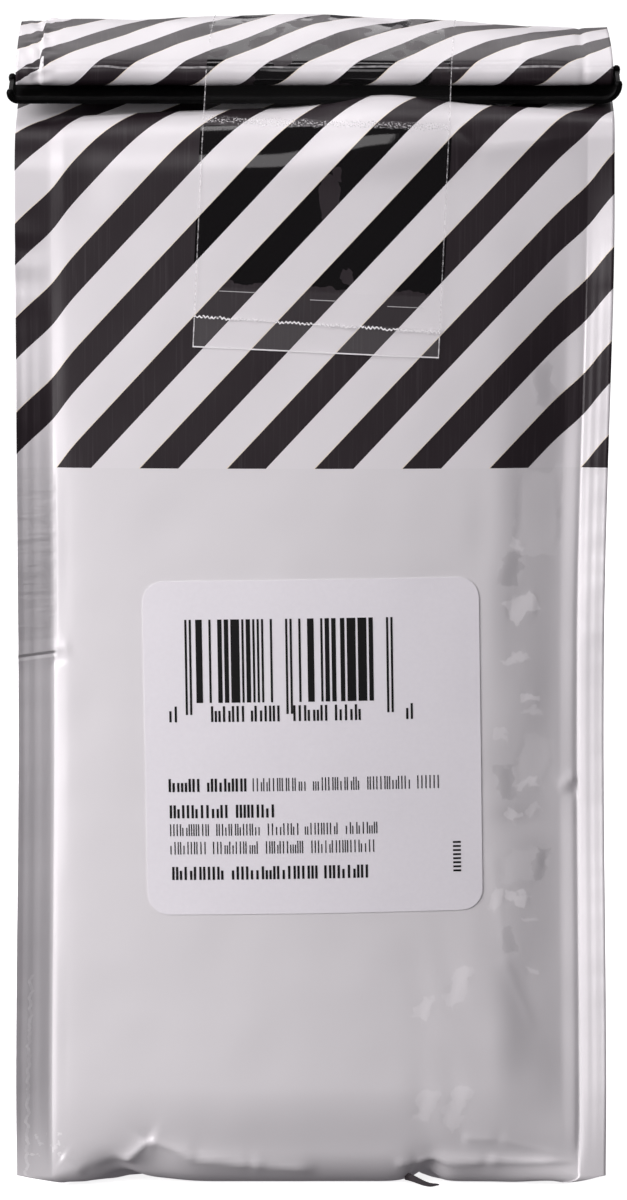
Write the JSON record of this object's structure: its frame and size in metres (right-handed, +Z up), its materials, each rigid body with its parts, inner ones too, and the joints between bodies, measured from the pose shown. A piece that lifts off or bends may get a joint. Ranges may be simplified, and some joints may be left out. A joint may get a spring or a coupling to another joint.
{
  "type": "coffee bag",
  "caption": "Filled side-gusset coffee bag with four corner seals, a rolled mouth, a flat tie, a strip of clear tape and a blank-style square label.",
  "frame": {"origin": "under the middle of the bag, on the surface that it stands on", "axes": "+Z up to the rolled mouth, -Y the way the labelled face looks, +X to the right of someone who looks at that face"},
  "size_m": [0.0922, 0.0616, 0.1788],
  "materials": {
    "film": "silver-white satin laminate film, its upper part printed with slanting black and white stripes",
    "tie": "black coated tin tie, semi-matte",
    "label": null,
    "tape": "clear glossy adhesive tape"
  },
  "bodies": {
    "root": {"bag": "film", "tin_tie": "tie", "label": "label", "tape": "tape"}
  },
  "joints": []
}
